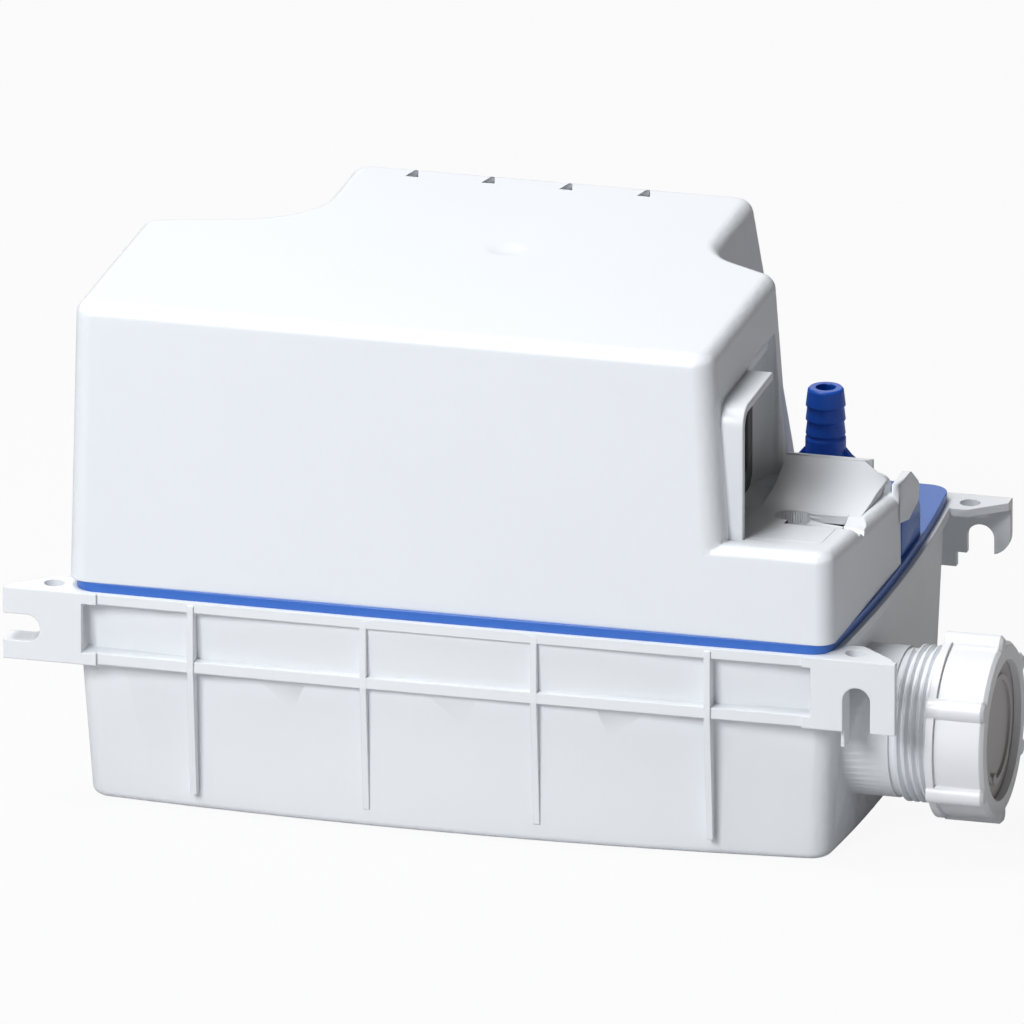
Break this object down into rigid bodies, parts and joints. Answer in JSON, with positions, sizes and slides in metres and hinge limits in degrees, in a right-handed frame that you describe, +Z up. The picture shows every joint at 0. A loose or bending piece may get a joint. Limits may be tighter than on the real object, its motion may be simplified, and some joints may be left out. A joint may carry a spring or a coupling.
{
  "type": "condensate pump",
  "caption": "Condensate pump: a wide tank with fixing ears and a capped drain spout, a deck with a hose barb, and a motor, pump and float switch under a stepped cover.",
  "frame": {"origin": "middle of the tank's flat underside", "axes": "+X along the tank to the drain spout, +Z up, and the long side with the rail at -Y and +Y"},
  "size_m": [0.3014, 0.156, 0.1591],
  "materials": {
    "tank_white": "moulded ABS, fine satin",
    "cover_white": "moulded ABS, fine satin",
    "deck_blue": "moulded, through-coloured",
    "fitting_blue": "moulded, through-coloured",
    "nut_white": "moulded",
    "disc_grey": "moulded",
    "seal_rubber": "nitrile",
    "screw_steel": "zinc plated",
    "pump_grey": "glass-filled",
    "tube_clear": "vinyl",
    "motor_steel": "laminated, oiled",
    "bracket_steel": "pressed, plated",
    "winding": "taped copper winding",
    "bobbin_plastic": "nylon",
    "bearing_bronze": "sintered, oiled",
    "fan_plastic": "nylon",
    "float_plastic": "blow-moulded",
    "switch_plastic": "moulded",
    "lever_plastic": "acetal",
    "socket_black": "moulded",
    "pin_brass": "nickel-plated brass"
  },
  "bodies": {
    "housing": {"tank": "tank_white", "deck_plate": "deck_blue", "deck_seal": "seal_rubber", "top_cover": "cover_white", "cover_screw": "screw_steel", "deck_screws": "screw_steel", "volute_housing": "pump_grey", "volute_cover": "pump_grey", "volute_screws": "screw_steel", "column_screws": "screw_steel", "inlet_strainer": "pump_grey", "discharge_tube": "tube_clear", "discharge_fitting": "fitting_blue", "valve_spring": "screw_steel", "motor_stator": "motor_steel", "coil_bobbin": "bobbin_plastic", "motor_coil": "winding", "lower_bracket": "bracket_steel", "upper_bracket": "bracket_steel", "lower_bearing": "bearing_bronze", "upper_bearing": "bearing_bronze", "motor_mounts": "seal_rubber", "motor_spacers": "bracket_steel", "motor_bolts": "screw_steel", "lever_pin": "pin_brass", "switch_bracket": "switch_plastic", "float_switch": "switch_plastic", "power_socket": "socket_black", "socket_pins": "pin_brass", "terminal_block": "lever_plastic"},
    "rotor": {"motor_shaft": "screw_steel", "rotor_core": "motor_steel", "impeller": "fan_plastic", "cooling_fan": "fan_plastic", "shaft_slinger": "seal_rubber"},
    "float_body": {"float": "float_plastic", "float_rod": "lever_plastic"},
    "lever": {"switch_lever": "lever_plastic"},
    "plunger": {"switch_plunger": "lever_plastic"},
    "ball": {"valve_ball": "seal_rubber"},
    "disc": {"blanking_disc": "disc_grey", "spout_washer": "seal_rubber"},
    "nut": {"spout_nut": "nut_white"}
  },
  "joints": [
    {"name": "rotor_spin", "type": "hinge", "parent": "housing", "child": "rotor", "pos_m": [-0.005, 0.01, 0.104], "axis": [0, 0, 1], "continuous": true},
    {"name": "float_rise", "type": "slide", "parent": "housing", "child": "float_body", "axis": [0, 0, 1], "range_m": [0, 0.022]},
    {"name": "lever_tilt", "type": "hinge", "parent": "housing", "child": "lever", "pos_m": [-0.08, -0.05, 0.104], "axis": [1, 0, 0], "range_deg": [0, 28.1]},
    {"name": "plunger_press", "type": "slide", "parent": "housing", "child": "plunger", "axis": [0, 0, 1], "range_m": [0, 0.003]},
    {"name": "ball_lift", "type": "slide", "parent": "housing", "child": "ball", "axis": [0, 0, 1], "range_m": [0, 0.0025], "stiffness_N_per_m": 30, "springref_m": -0.004, "deforming": ["valve_spring"]},
    {"name": "disc_travel", "type": "slide", "parent": "housing", "child": "disc", "axis": [1, 0, 0], "range_m": [0, 0.0116]},
    {"name": "nut_turn", "type": "hinge", "parent": "disc", "child": "nut", "pos_m": [0.1535, -0.036, 0.0354], "axis": [1, 0, 0], "range_deg": [0, 1800]}
  ],
  "couplings": [
    {"joint": "lever_tilt", "follows": "float_rise", "rad_per_m": 22.222},
    {"joint": "plunger_press", "follows": "float_rise", "ratio": 0.13333},
    {"joint": "disc_travel", "follows": "nut_turn", "m_per_rad": 0.00036749}
  ]
}
